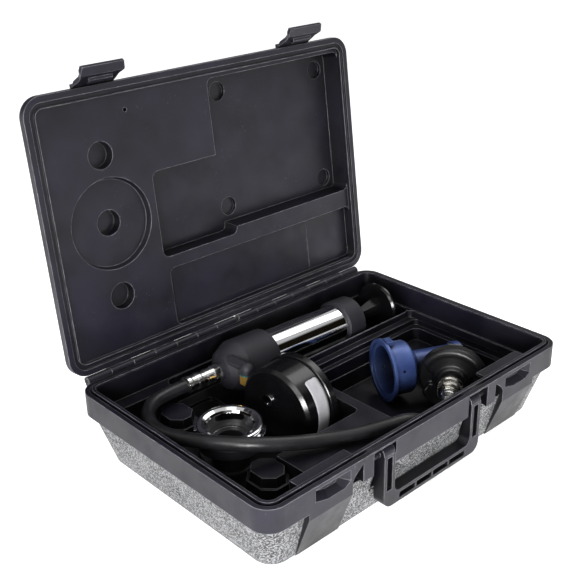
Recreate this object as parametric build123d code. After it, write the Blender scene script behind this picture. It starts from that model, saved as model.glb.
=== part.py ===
from build123d import *
import math
import os

# Cooling system pressure tester in its open carry case: a hand pump with a pressure gauge, a hose,
# a test head and three adapters. Millimetres, +Z up, origin at the middle of the case's underside,
# X along the case, the hinge at the back (+Y), the handle and catches at the front (-Y).

# Carry case, blow moulded
CASE_L = 380.0
CASE_D = 252.0
RIM_Z = 72.0
BAND_H = 22.0
BAND_STEP = 4.0
BOTTOM_INSET = 17.0
CORNER_R = 18.0
DECK_Z = 50.0
LEDGE_W = 4.5
GROOVE_W = 2.0
RIM_W = 9.5
RAIL_H = 1.5
LID_H = 32.0
LID_BAND = 7.0
LID_PANEL = 4.0
LID_GAP = 0.4
LID_OPEN = 96.9
HINGE_Y = CASE_D / 2 + 4.6
HINGE_START = 2.0
KNUCKLE_L = 24.6
KNUCKLES = 7
KNUCKLE_R = 4.2
PIN_R = 2.0
LATCH_X = 118.0
LATCH_W = 44.0
LATCH_BEAD = (-127.4, 76.2)
LATCH_BEAD_R = 1.62
LATCH_SWING = 28.0
CATCH_X = 121.0
PLATE_IN = 99.0
PLATE_OUT = 147.0
TAB_IN = 75.0
TAB_OUT = 87.0
HANDLE_HALF = 63.5
HANDLE_PIVOT_Y = -119.5
HANDLE_PIVOT_Z = 61.5

# Hand pump: its axis lies a little nose up in the trough, stations run along it from head to knob
PUMP_MID = (60.0, 83.0, 50.8)
PUMP_YAW = 0.77
PUMP_DROP = 2.68
BARREL_R = 21.3
BARREL_BORE = 19.0
HEAD_R = 25.5
COLLAR_R = 24.8
KNOB_R = 27.0
ROD_R = 5.0
RUN_GAP = 0.05

# Pressure gauge: a drum whose window faces the knob end
GAUGE_AT = (-34.3, 2.8, 50.0)
GAUGE_YAW = 4.6
GAUGE_R = 40.7
GAUGE_DEPTH = 32.6
BEZEL_R = 42.7

# Hose
HOSE_R = 6.3
HOSE_BORE = 3.4

# Test head, standing on its rim, and the adapters
TEST_AT = (99.8, -68.0, 40.4)
TEST_YAW = 212.7
TEST_R = 33.0
BLUE_AT = (71.0, -5.1, 39.2)
BLUE_YAW = -23.5
NECK_AT = (-121.0, -3.0)
NECK_TOP = 65.0
NECK_R = 28.7
LEFT_FLOOR = 20.0
RIGHT_FLOOR = 6.5
SHELF_FLOOR = 23.0
GAUGE_FLOOR = 7.0
TROUGH_FLOOR = 23.0
POST_TOP = 50.0


def slab(width, depth, radius, z, height):
    return extrude(Plane.XY.offset(z) * RectangleRounded(width, depth, radius), amount=height)


def frustum(bottom, top, radius, z0, z1):
    lower = Plane.XY.offset(z0) * RectangleRounded(bottom[0], bottom[1], radius)
    upper = Plane.XY.offset(z1) * RectangleRounded(top[0], top[1], radius)
    return loft([lower, upper], ruled=True)


def block(x0, x1, y0, y1, z0, z1):
    middle = Pos((x0 + x1) / 2, (y0 + y1) / 2, (z0 + z1) / 2)
    return middle * Box(x1 - x0, y1 - y0, z1 - z0)


def pocket(x0, x1, y0, y1, floor, top, radius=8.0, draft=6.0):
    # a compartment whose walls lean in towards its floor
    inset = (top - floor) * math.tan(math.radians(draft))
    middle = Pos((x0 + x1) / 2, (y0 + y1) / 2)
    mouth = Plane.XY.offset(top) * middle * RectangleRounded(x1 - x0, y1 - y0, radius)
    small = RectangleRounded(x1 - x0 - 2 * inset, y1 - y0 - 2 * inset, max(radius - inset, 1.5))
    return loft([Plane.XY.offset(floor) * middle * small, mouth], ruled=True)


def turned(*profile):
    # a lathe-turned piece from (radius, height) corners
    outline = make_face(Polyline(*profile, close=True))
    return revolve(Plane.XZ * outline, axis=Axis.Z)


def ring(outer, inner, z0, z1):
    return turned((inner, z0), (outer, z0), (outer, z1), (inner, z1))


def rod(radius, z0, z1):
    return Pos(0, 0, (z0 + z1) / 2) * Cylinder(radius, z1 - z0)


def hexagon(flats, z0, z1):
    return extrude(Plane.XY.offset(z0) * RegularPolygon(flats / 2, 6, major_radius=False), amount=z1 - z0)


def spring(radius, wire, z0, z1, turns):
    pitch = (z1 - z0 - wire) / turns
    path = Pos(0, 0, z0 + wire / 2) * Helix(pitch, z1 - z0 - wire, radius)
    start = Plane(path @ 0, z_dir=path % 0)
    return sweep(start * Circle(wire / 2), path=path)


def pump_frame():
    yaw = math.radians(PUMP_YAW)
    drop = math.radians(-PUMP_DROP)
    axis = Vector(math.cos(yaw) * math.cos(drop), math.sin(yaw) * math.cos(drop), math.sin(drop))
    return Plane(origin=PUMP_MID, x_dir=(math.sin(yaw), -math.cos(yaw), 0), z_dir=axis)


def level_frame(at, yaw):
    # a level axis: local Z runs along it, local Y points down
    a = math.radians(yaw)
    return Plane(origin=at, x_dir=(math.sin(a), -math.cos(a), 0), z_dir=(math.cos(a), math.sin(a), 0))


# Case base

def rim_band(z, height, outer_in, inner_in):
    # a strip of the rim between two distances in from the outside
    wide = slab(CASE_L - 2 * outer_in, CASE_D - 2 * outer_in, max(CORNER_R - outer_in, 3), z, height)
    hole = slab(CASE_L - 2 * inner_in, CASE_D - 2 * inner_in, max(CORNER_R - inner_in, 3), z, height)
    return wide - hole


def base_outside():
    band = slab(CASE_L, CASE_D, CORNER_R, RIM_Z - BAND_H, BAND_H)
    top = (CASE_L - 2 * BAND_STEP, CASE_D - 2 * BAND_STEP)
    bottom = (CASE_L - 2 * BOTTOM_INSET, CASE_D - 2 * BOTTOM_INSET)
    lower = frustum(bottom, top, CORNER_R, 0, RIM_Z - BAND_H)
    lower = fillet(lower.edges().group_by(Axis.Z)[0], 5)
    body = band + lower
    groove_out = LEDGE_W
    body -= rim_band(RIM_Z - 3, 3, groove_out, groove_out + GROOVE_W)
    body += rim_band(RIM_Z - 3, 3 + RAIL_H, groove_out + GROOVE_W, RIM_W)
    return body


def base_compartments():
    inner_l = CASE_L / 2 - RIM_W
    inner_d = CASE_D / 2 - RIM_W
    room = pocket(-inner_l, inner_l, -inner_d, inner_d, DECK_Z, RIM_Z + RAIL_H, CORNER_R - RIM_W, 3)
    room += pocket(-176, -112, -112, 100, LEFT_FLOOR, DECK_Z)
    room += pocket(-176, -60, -51, 100, LEFT_FLOOR, DECK_Z)
    room += pocket(-76, -11, -51, 56, GAUGE_FLOOR, DECK_Z, 6, 3)
    room += pocket(-104, 177, 50, 113.5, TROUGH_FLOOR, DECK_Z)
    room += pocket(134, 176, 56, 112, 15, TROUGH_FLOOR, 8, 20)
    room += pocket(0, 177, -112, 50, 42, DECK_Z, 6, 4)
    room += pocket(0, 177, -112, 42, 36, 42, 6, 4)
    room += pocket(2.5, 171, -109, 36, SHELF_FLOOR, 36)
    room += pocket(3, 130, -107.5, 34, RIGHT_FLOOR, SHELF_FLOOR, 7, 6)
    return room


def octagon(x, y, wide, deep, cut, z):
    half_w = wide / 2
    half_d = deep / 2
    corners = []
    for sx, sy in ((1, 1), (-1, 1), (-1, -1), (1, -1)):
        side = (x + sx * half_w, y + sy * (half_d - cut))
        end = (x + sx * (half_w - cut), y + sy * half_d)
        corners += [side, end] if sx * sy > 0 else [end, side]
    return Plane.XY.offset(z) * make_face(Polyline(*corners, close=True))


def post(x, y, wide=25.0, deep=30.0):
    # a hollow moulded post with a chamfered top and one step down its side
    upper = loft([octagon(x, y, wide + 3, deep + 3, 9, POST_TOP - 9), octagon(x, y, wide, deep, 8, POST_TOP)])
    lower = loft([octagon(x, y, wide + 11, deep + 11, 10, LEFT_FLOOR - 1),
                  octagon(x, y, wide + 6, deep + 6, 9, POST_TOP - 9)])
    return lower + upper


def base_catches(body):
    # smooth plates on the front wall, each with a pocket that the latch's rib snaps into
    slope = [(-126, RIM_Z - 2), (-126, 44), (-110, 1.5), (-104, 1.5), (-104, RIM_Z - 2)]
    for side in (-1, 1):
        face = [(PLATE_OUT, 1), (PLATE_IN, 1), (PLATE_IN, 56), (PLATE_IN - 2.5, 60), (TAB_OUT, 67.5),
                (TAB_OUT, RIM_Z - 2), (PLATE_OUT, RIM_Z - 2)]
        face = make_face(Polyline(*[(side * x, z) for x, z in face], close=True))
        plate = extrude(Plane.YZ.offset(side * 120) * make_face(Polyline(*slope, close=True)), amount=40, both=True)
        band_cut = block(TAB_IN - 2, PLATE_IN, -130, -117, RIM_Z - BAND_H, 67)
        body -= mirror(band_cut, Plane.YZ) if side < 0 else band_cut
        body += plate & extrude(Plane.XZ.offset(100) * face, amount=30)
        tab = block(TAB_IN, TAB_OUT, -126, -116, 49, 68)
        body += mirror(tab, Plane.YZ) if side < 0 else tab
        mouth = [(-19.5, 58), (-6, 54.3), (13, 54.3), (19.5, 58.5), (19.5, 68.6), (-19.5, 68.6)]
        floor = [(-13, 62), (-4, 59.5), (8, 59.5), (12, 62), (12, 67), (-13, 67)]
        outer = Plane.XZ.offset(126.1) * make_face(Polyline(*mouth, close=True))
        inner = Plane.XZ.offset(119.5) * make_face(Polyline(*floor, close=True))
        bed = Pos(side * CATCH_X, 0, 0) * loft([inner, outer], ruled=True)
        body -= bed
    return body


def handle_recess(side):
    near = side * (HANDLE_HALF - 15.5)
    far = side * TAB_IN
    low = min(near, far)
    high = max(near, far)
    cut = block(low, high, -130, -110.5, 43, RIM_Z - 1.5)
    foot = side * (HANDLE_HALF + 6.0)
    cut += block(min(near, foot), max(near, foot), -130, -114.0, 26, 44)
    return cut


def knuckles(first, arm):
    # every second eye along both halves of the hinge, starting with eye number first
    pitch = KNUCKLE_L + 0.4
    group = None
    for side in (-1, 1):
        for number in range(first, KNUCKLES, 2):
            x = side * (HINGE_START + KNUCKLE_L / 2 + number * pitch)
            eye = Pos(x, HINGE_Y, RIM_Z) * Rot(0, 90, 0) * Cylinder(KNUCKLE_R, KNUCKLE_L)
            start = Plane.YZ.offset(x - KNUCKLE_L / 2)
            lug = extrude(start * make_face(Polyline(*arm, close=True)), amount=KNUCKLE_L)
            part = eye + lug
            group = part if group is None else group + part
    return group


def hinge_bore(radius):
    length = KNUCKLES * (KNUCKLE_L + 0.4)
    bore = None
    for side in (-1, 1):
        middle = side * (HINGE_START + length / 2)
        hole = Pos(middle, HINGE_Y, RIM_Z) * Rot(0, 90, 0) * Cylinder(radius, length + 4)
        bore = hole if bore is None else bore + hole
    return bore


def make_base():
    body = base_outside()
    body -= base_compartments()
    for x, y, wide in ((-129, 62, 25), (-129, -59, 25), (-163, 6, 20)):
        body += post(x, y, wide)
    body += pocket(-18, -10, 60, 104, TROUGH_FLOOR - 1, 28.4, 2, -8)
    body = base_catches(body)
    for side in (-1, 1):
        body -= handle_recess(side)
        pivot = Pos(side * (HANDLE_HALF + 9), HANDLE_PIVOT_Y, HANDLE_PIVOT_Z) * Rot(0, 90, 0)
        body -= pivot * Cylinder(3.1, 24)
    back = CASE_D / 2
    arm = [(back - 1, 58), (back + 1.5, 58), (HINGE_Y + KNUCKLE_R, RIM_Z - 0.5),
           (HINGE_Y, RIM_Z), (back - 1, RIM_Z - 0.5)]
    body += knuckles(0, arm)
    body -= hinge_bore(PIN_R)
    underside = slab(CASE_L - 2 * BOTTOM_INSET - 34, CASE_D - 2 * BOTTOM_INSET - 34, 12, -1, 3)
    return body - underside


# Case lid, drawn shut and then swung open about its hinge

def lid_recess(x0, x1, d0, d1, depth, radius=7.0, draft=8.0):
    # d0 and d1 are distances forward from the hinge, depth is measured up from the inner panel
    z = RIM_Z + LID_GAP + LID_PANEL
    inset = depth * math.tan(math.radians(draft))
    middle = Pos((x0 + x1) / 2, HINGE_Y - (d0 + d1) / 2)
    mouth = Plane.XY.offset(z - 0.1) * middle * RectangleRounded(x1 - x0, d1 - d0, radius)
    small = RectangleRounded(x1 - x0 - 2 * inset, d1 - d0 - 2 * inset, max(radius - inset, 1.5))
    return loft([mouth, Plane.XY.offset(z + depth) * middle * small], ruled=True)


def lid_dimple(x, d, radius, depth, top_radius):
    z = RIM_Z + LID_GAP + LID_PANEL
    cone = Cone(radius, top_radius, depth)
    return Pos(x, HINGE_Y - d, z + depth / 2 - 0.05) * cone


def latch_seat(side):
    # a ridge on the lid's front with a groove that the latch's bead turns in
    y, z = LATCH_BEAD
    middle = side * LATCH_X
    half = LATCH_W / 2 - 1
    ridge = block(middle - half, middle + half, y - 2.4, -CASE_D / 2 + 1, z - 1.2, z + 3)
    opening = [(y, z), (y - 6, z + 0.5), (y - 6, z - 6), (y + 3, z - 6)]
    ridge -= extrude(Plane.YZ.offset(middle) * make_face(Polyline(*opening, close=True)), amount=half, both=True)
    ridge = fillet(ridge.edges().filter_by(Axis.X).group_by(Axis.Z)[-1].sort_by(Axis.Y)[0], 1)
    return ridge


def latch_groove(side):
    y, z = LATCH_BEAD
    return Pos(side * LATCH_X, y, z) * Rot(0, 90, 0) * Cylinder(LATCH_BEAD_R + 0.08, LATCH_W + 6)


def make_latch(side):
    # drawn latched, hanging straight down from its bead, then swung out and opened with the lid
    y, z = LATCH_BEAD
    middle = side * LATCH_X
    front = -CASE_D / 2 - 0.4
    web = [(y + 0.9, z), (y + 0.9, z - 5), (front, z - 6.5), (front, z - 21), (front - 5.2, z - 27.4),
           (front - 8.0, z - 25.2), (front - 3.6, z - 19.6), (front - 3.6, z - 6), (y - 0.9, z - 2.6), (y - 0.9, z)]
    sheet = extrude(Plane.YZ.offset(middle) * make_face(Polyline(*web, close=True)), amount=LATCH_W / 2, both=True)
    outline = make_face(Polyline((-21, z + 3), (-21, z - 4), (-19.5, z - 14), (-22, z - 22), (-20.5, z - 28),
                                 (20.5, z - 28), (22, z - 22), (19.5, z - 14), (21, z - 4), (21, z + 3), close=True))
    sheet &= Pos(middle, 0, 0) * extrude(Plane.XZ.offset(115) * outline, amount=30)
    bead = Pos(middle, y, z) * Rot(0, 90, 0) * Cylinder(LATCH_BEAD_R, LATCH_W - 3)
    rib = [(front - 1, 60), (front + 2.2, 61.5), (front + 2.8, 63), (front + 2.8, 65.5), (front - 1, 66)]
    rib = extrude(Plane.YZ.offset(middle) * make_face(Polyline(*rib, close=True)), amount=12, both=True)
    latch = sheet + bead + rib
    latch = latch.rotate(Axis((0, y, z), (1, 0, 0)), -LATCH_SWING)
    return open_lid(latch)


def open_lid(piece):
    return piece.rotate(Axis((0, HINGE_Y, RIM_Z), (1, 0, 0)), -LID_OPEN)


def make_lid():
    z0 = RIM_Z + LID_GAP
    band = slab(CASE_L, CASE_D, CORNER_R, z0, LID_BAND)
    crown = frustum((CASE_L - 3, CASE_D - 3), (CASE_L - 32, CASE_D - 32), CORNER_R, z0 + LID_BAND, RIM_Z + LID_H)
    crown = fillet(crown.edges().group_by(Axis.Z)[-1], 4)
    lid = band + crown
    inner_l = CASE_L / 2 - RIM_W - 1.5
    inner_d = CASE_D / 2 - RIM_W - 1.5
    lid -= slab(2 * inner_l, 2 * inner_d, 7, z0 - 1, LID_PANEL + 1)
    lid -= rim_band(z0 - 1, RAIL_H + 1.8, LEDGE_W + GROOVE_W - 0.8, RIM_W + 0.8)
    lid -= lid_recess(4, inner_l, 93, 241.5, 18.5, 7, 7)
    lid -= lid_recess(-71.5, 20, 86, 169, 18.5, 7, 3)
    lid -= lid_recess(-67, inner_l, 16, 74, 7, 6, 6)
    lid -= lid_dimple(-121, 133, 42, 5.5, 40)
    lid -= lid_dimple(-121.5, 133.4, 12.5, 14, 11)
    for x, d in ((-122, 195.6), (-122.6, 64.8)):
        lid -= lid_dimple(x, d, 12.5, 8, 11)
    for x, d in ((29, 225), (162, 224.4), (162, 108.2), (26.5, 110)):
        lid -= lid_dimple(x, d, 10, 22, 9)
    lid -= lid_dimple(-90, 230, 2, 5, 1.5)
    lid -= block(117.6, 118.4, HINGE_Y - 71, HINGE_Y - 19, z0 + LID_PANEL + 6, z0 + LID_PANEL + 9)
    for side in (-1, 1):
        lid += latch_seat(side)
        lid -= latch_groove(side)
    back = CASE_D / 2
    arm = [(back - 1, z0 + 8), (back + 1.5, z0 + 8), (HINGE_Y + KNUCKLE_R, RIM_Z + 0.5),
           (HINGE_Y, RIM_Z), (back - 1, z0 + 0.2)]
    lid += knuckles(1, arm)
    lid -= hinge_bore(PIN_R + RUN_GAP)
    return open_lid(lid)


def make_hinge_pin(side):
    length = KNUCKLES * (KNUCKLE_L + 0.4)
    return Pos(side * (HINGE_START + length / 2), HINGE_Y, RIM_Z) * Rot(0, 90, 0) * Cylinder(PIN_R, length - 1)


def make_handle():
    # a U with ribbed channels in its front face, hanging from two stub pins
    leg_w = 13.0
    bar_low = 10.0
    bar_high = 21.5
    front = -127.5
    back = -116.0
    outer = RectangleRounded(2 * HANDLE_HALF, HANDLE_PIVOT_Z + 12 - bar_low, 10)
    inner = RectangleRounded(2 * (HANDLE_HALF - leg_w), HANDLE_PIVOT_Z + 12 - bar_high, 7)
    middle = (HANDLE_PIVOT_Z + 12 + bar_low) / 2
    upright = Plane.XZ.offset(-back)
    face = Pos(0, middle) * outer - Pos(0, middle + (bar_high - bar_low) / 2) * inner
    u_shape = extrude(upright * face, amount=back - front)
    u_shape -= block(-80, 80, -140, -100, HANDLE_PIVOT_Z, 90)
    for side in (-1, 1):
        centre_x = side * (HANDLE_HALF - leg_w / 2)
        eye = Pos(centre_x, HANDLE_PIVOT_Y, HANDLE_PIVOT_Z) * Rot(0, 90, 0) * Cylinder(7.4, leg_w)
        eye &= block(-80, 80, front, -110, 40, 80)
        u_shape += eye
        stub = Pos(side * (HANDLE_HALF + 8.5), HANDLE_PIVOT_Y, HANDLE_PIVOT_Z) * Rot(0, 90, 0)
        u_shape += stub * Cylinder(3.0, 19)
        u_shape -= block(centre_x - 3.2, centre_x + 3.2, front - 1, front + 6, 27, 59)
    u_shape -= block(-44, 44, front - 1, front + 5, bar_low + 3, bar_high - 3)
    for x in (-22, 0, 22):
        u_shape += block(x - 1, x + 1, front + 0.6, front + 6, bar_low + 2, bar_high - 2)
    return u_shape


# Hand pump

def make_barrel(pump):
    return pump * ring(BARREL_R, BARREL_BORE, -72, 46)


def relief_axis():
    return Plane(origin=(-56.4, 49.6, 8.4), x_dir=(0, 1, 0), z_dir=(0, 0, 1))


def gauge_port():
    # runs from the gauge's case to the side of the pump head, along +Y
    return Plane(origin=(-46.0, 0, 49.0), x_dir=(1, 0, 0), z_dir=(0, 1, 0))


def make_head(pump):
    shell = turned((0, -126), (8.5, -126), (8.5, -122), (13, -121), (19.5, -116.5), (HEAD_R - 2, -108),
                   (HEAD_R, -104), (HEAD_R, -66), (HEAD_R - 2, -64), (0, -64))
    head = pump * shell
    dome = (Pos(0, 0, 61) * Sphere(6.6)) & rod(8, 61, 70)
    head += relief_axis() * (rod(6.6, 57.4, 61) + dome)
    head += relief_axis() * Pos(11, 0, 62.5) * Rot(0, 90, 0) * Cylinder(5, 22)
    head += gauge_port() * rod(6.0, 51.5, 62)
    head -= pump * rod(BARREL_R, -72, -60)
    head -= pump * rod(BARREL_BORE - 1, -100, -70)
    head -= pump * rod(7.6, -112, -99)
    head -= pump * rod(3.0, -127, -110)
    head -= relief_axis() * rod(3.0, 55, 64)
    head -= gauge_port() * rod(4.0, 50, 59)
    return head


def make_collar(pump):
    collar = turned((6.6, 34), (COLLAR_R - 1.5, 34), (COLLAR_R, 35.5), (COLLAR_R, 57), (COLLAR_R - 2.5, 58.5),
                    (6.6, 58.5))
    collar -= rod(BARREL_R, 33, 46)
    collar -= rod(16, 45, 50)
    return pump * collar


def make_knob(pump):
    disc = turned((0, 98.5), (20, 98.5), (25, 99.2), (KNOB_R, 101), (KNOB_R, 103.4), (25.5, 105.4), (21, 106), (0, 106))
    narrow = Plane.XY.offset(74.5) * RegularPolygon(6.6, 6, rotation=15)
    wide = Plane.XY.offset(99) * RegularPolygon(12.5, 6, rotation=15)
    hub = loft([narrow, wide], ruled=True)
    knob = disc + hub
    knob -= rod(ROD_R, 70, 92)
    return pump * knob


def make_pump_inside(pump):
    pieces = {}
    pieces["rod_guide_bush"] = pump * ring(6.6, ROD_R + RUN_GAP, 50.5, 59.5)
    piston_rod = rod(ROD_R, -2, 92) - rod(1.6, -3, 8)
    pieces["plunger_rod"] = pump * piston_rod
    piston = turned((0, -14), (13, -14), (13, -9.5), (BARREL_BORE - 0.3, -9.5), (BARREL_BORE - 0.3, -2), (0, -2))
    pieces["pump_piston"] = pump * piston
    cup = turned((13, -14), (16.5, -14), (BARREL_BORE - RUN_GAP, -16), (BARREL_BORE - RUN_GAP, -9.5), (13, -9.5))
    pieces["piston_cup_seal"] = pump * cup
    valve = turned((0, -111), (2, -111), (6.4, -110), (6.4, -107.5), (0, -107.5))
    pieces["check_valve_disc"] = pump * valve
    cage = ring(7.6, 3.5, -101, -99)
    pieces["check_valve_retainer"] = pump * cage
    pieces["check_valve_spring"] = pump * spring(4.4, 0.9, -107.5, -101, 4)
    return pieces


def make_relief_valve():
    at = relief_axis()
    pieces = {}
    pieces["relief_valve_seal"] = at * ring(6.4, 3.0, 55.9, 57.4)
    body = hexagon(11.2, 46.4, 55.9) + rod(3.0, 55.9, 61.5)
    body = body - rod(1.55, 48, 62) - rod(3.5, 45, 50.5)
    pieces["relief_valve_body"] = at * body
    pin = turned((0, 35.8), (1.4, 35.8), (3.4, 43.4), (3.4, 47.6), (1.5, 47.6), (1.5, 60.8), (0, 60.8))
    pieces["relief_valve_pin"] = at * pin
    return pieces


def make_hose_nut(pump):
    nut = hexagon(15, -133.5, -126) + rod(8.4, -134.5, -133) - rod(HOSE_BORE, -136, -125)
    return pump * nut


def make_pump_ferrule(pump):
    crimp = turned((HOSE_BORE, -164), (8.2, -164), (8.2, -160), (7.7, -158.5), (7.7, -154), (8.2, -152.5),
                   (8.2, -149), (7.7, -147.5), (7.7, -143), (8.2, -141.5), (8.2, -134.5), (HOSE_BORE, -134.5))
    return pump * crimp


# Gauge

def make_gauge(pump):
    at = level_frame(GAUGE_AT, GAUGE_YAW)
    pieces = {}
    depth = GAUGE_DEPTH
    case = turned((0, -depth), (GAUGE_R - 3, -depth), (GAUGE_R, -depth + 3), (GAUGE_R, 1), (GAUGE_R - 2, 1),
                  (GAUGE_R - 2, -depth + 2.5), (0, -depth + 2.5))
    case -= Pos(-6.8, -9.5, 0) * rod(2.4, -depth - 1, -depth + 4)
    pieces["gauge_case"] = at * case - gauge_port() * rod(4.0, 30, 50)
    bezel = turned((GAUGE_R, -3), (BEZEL_R - 0.8, -3), (BEZEL_R, -2.2), (BEZEL_R, 4), (BEZEL_R - 1.4, 5.6),
                   (36.5, 5.6), (36.5, 4.4), (GAUGE_R - 2, 3.2), (GAUGE_R - 2, 1), (GAUGE_R, 1))
    pieces["gauge_bezel"] = at * bezel
    pieces["gauge_lens"] = at * rod(GAUGE_R - 2, 1.2, 3.2)
    dial = rod(GAUGE_R - 3.2, -6.8, -6) - rod(1.6, -8, -5)
    pieces["gauge_dial"] = at * dial
    plug = rod(5.2, -depth - 1.8, -depth) + rod(2.4, -depth, -depth + 2.5)
    plug -= block(-0.6, 0.6, -4, 4, -depth - 2.5, -depth - 0.9)
    plug = Pos(-6.8, -9.5, 0) * plug
    pieces["gauge_back_screw"] = at * plug
    needle_outline = make_face(Polyline((-1.7, 9), (-0.5, -30), (0.5, -30), (1.7, 9), close=True))
    needle = extrude(Plane.XY.offset(-4.9) * needle_outline, amount=0.8) + rod(3.4, -4.9, -3.4)
    needle = needle.rotate(Axis.Z, -45)
    pieces["gauge_needle"] = at * (needle - rod(0.9, -6, -4))
    arbor = rod(0.9, -19.2, -4) + rod(1.9, -16.6, -13.4)
    pieces["needle_arbor"] = at * arbor
    plate = RectangleRounded(26, 16, 3) - Pos(0, 0) * Circle(0.95) - Pos(8.6, 0) * Circle(1.05)
    plates = extrude(Plane.XY.offset(-19.2) * plate, amount=1.4)
    plates += extrude(Plane.XY.offset(-12.6) * plate, amount=1.4)
    for x, y in ((-10.5, 5), (-10.5, -5)):
        plates += Pos(x, y, -15.2) * Cylinder(1.4, 6)
    plates += block(-13, -10, -3, 3, -depth + 2.5, -11.2)
    pieces["movement_frame"] = at * plates
    wedge = make_face(Polyline((0, 0), (-9, 9.4), (-9, -9.4), close=True))
    sector = Circle(6.6) & (wedge + RegularPolygon(2.2, 12))
    sector = extrude(Plane.XY.offset(-15.9) * sector, amount=1.6)
    sector += rod(1.0, -19.2, -11.2)
    sector += block(0, 6.5, -1.2, 1.2, -15.9, -14.3)
    pieces["sector_gear"] = at * Pos(8.6, 0, 0) * sector.rotate(Axis.Z, 39)
    arc = CenterArc((0, 0), 27, -80, 250)
    tube = sweep(Plane(arc @ 0, x_dir=(0, 0, 1), z_dir=arc % 0) * RectangleRounded(8, 3, 1.4), path=arc)
    pieces["bourdon_tube"] = at * Pos(0, 0, -21) * tube
    return at, pieces


def make_gauge_nipple():
    body = rod(4.0, 40.2, 47) + hexagon(11, 46.0, 51.5) + rod(4.0, 51, 58.5)
    return gauge_port() * (body - rod(1.8, 35, 60))


# Hose, its end fittings and the test head

def hose_route():
    pump = pump_frame()
    test = level_frame(TEST_AT, TEST_YAW)
    start = pump.from_local_coords((0, 0, -164))
    out = pump.from_local_coords((0, 0, -195.6))
    back = test.from_local_coords((0, 0, 64.1))
    end = test.from_local_coords((0, 0, 42))
    return [
        (start.X, start.Y, start.Z),
        (out.X, out.Y, out.Z),
        (-154.9, 69.4, 59.9),
        (-166.8, 49.8, 59.1),
        (-167.4, 26.0, 59.5),
        (-160.0, 1.0, 63.0),
        (-150.5, -24.0, 67.5),
        (-133.5, -45.5, 68.5),
        (-108.0, -58.0, 63.0),
        (-80.0, -68.5, 58.0),
        (-51.0, -83.5, 57.2),
        (-21.0, -95.0, 58.6),
        (2.0, -101.0, 57.9),
        (24.1, -104.5, 43.7),
        (back.X, back.Y, back.Z),
        (end.X, end.Y, end.Z),
    ]


def corner_radii(points):
    radii = []
    for before, here, after in zip(points, points[1:], points[2:]):
        arrive = Vector(*here) - Vector(*before)
        leave = Vector(*after) - Vector(*here)
        half_turn = math.radians(arrive.get_angle(leave) / 2)
        radii.append(0.45 * min(arrive.length, leave.length) / math.tan(half_turn))
    return radii


def make_hose():
    points = hose_route()
    radii = corner_radii(points)
    print("hose arc radii", [round(r) for r in radii])
    path = FilletPolyline(*points, radius=radii)
    section = Plane(path @ 0, z_dir=path % 0) * Circle(HOSE_R)
    hose = sweep(section, path=path)
    full = math.pi * HOSE_R ** 2 * path.length
    print("hose length", round(path.length, 1), "volume share", round(hose.volume / full, 4))
    return hose


def make_test_head(at):
    pieces = {}
    body = turned((7, -19), (20, -19), (20, -17), (TEST_R - 5, -17), (TEST_R - 1, -15.5), (TEST_R, -13),
                  (TEST_R, -8), (TEST_R - 2, -6), (7, -6))
    lobe = turned((16, -7), (TEST_R, -9), (TEST_R + 0.6, -4), (TEST_R - 1.2, -0.8), (TEST_R - 4, 0),
                  (TEST_R - 6, -0.6), (TEST_R - 7.5, -1.6), (16, -1.6))
    for turn in (90, -90):
        wedge = make_face(Polyline((8, -14), (44, -4), (44, 4), (8, 14), (4, 0), close=True))
        outline = make_face(Polyline((6, -22), (30, -36), (60, -30), (60, 30), (30, 36), (6, 22), close=True))
        keep = extrude(Plane.XY.offset(-12) * (outline + wedge), amount=16)
        body += (lobe & keep).rotate(Axis.Z, turn)
    body += turned((7, -6), (18.5, -6), (18.5, -2.2), (17.5, -1.2), (7, -1.2))
    body += turned((7, -2), (15, -2), (15, 0.8), (14, 1.8), (7, 1.8))
    body -= ring(26, 21.5, -20, -12)
    pieces["test_head_body"] = at * body
    plate = ring(24.5, 12, -21.5, -19)
    for turn in (90, -90):
        tab = block(20, 29.5, -7, 7, -21.5, -20.2)
        plate += tab.rotate(Axis.Z, turn)
    pieces["bayonet_plate"] = at * plate
    seal = turned((7, -27), (16, -27), (18.5, -25.5), (18.5, -21.5), (7, -21.5))
    pieces["test_head_seal"] = at * seal
    spindle = ring(11.9, 2.5, -21.5, -19) & ring(12, 2.5, -21.5, -19)
    spindle += ring(7, 2.5, -29, 9)
    spindle += ring(9.5, 2.5, -29, -27)
    spindle += ring(8.2, 2.5, 1.8, 5)
    pieces["test_head_spindle"] = at * spindle
    body = turned((2.5, 9), (7.4, 9), (7.4, 23), (8.6, 23), (8.6, 27), (2.5, 27))
    pieces["coupler_body"] = at * body
    sleeve = turned((7.45, 7.5), (10.8, 7.5), (11.6, 8.4), (11.6, 12), (10.6, 12.8), (10.6, 14.6), (11.6, 15.4),
                    (11.6, 20.6), (10.4, 21.8), (9.6, 21.8), (9.6, 16.5), (7.45, 16.5))
    pieces["coupler_sleeve"] = at * sleeve
    pieces["coupler_spring"] = at * spring(8.5, 0.9, 16.55, 23.0, 4)
    ferrule = turned((HOSE_BORE, 27), (8.2, 27), (8.2, 31), (7.7, 32), (7.7, 35), (8.2, 36), (8.2, 42),
                     (HOSE_BORE, 42))
    pieces["test_end_ferrule"] = at * ferrule
    return pieces


# Adapters

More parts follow.
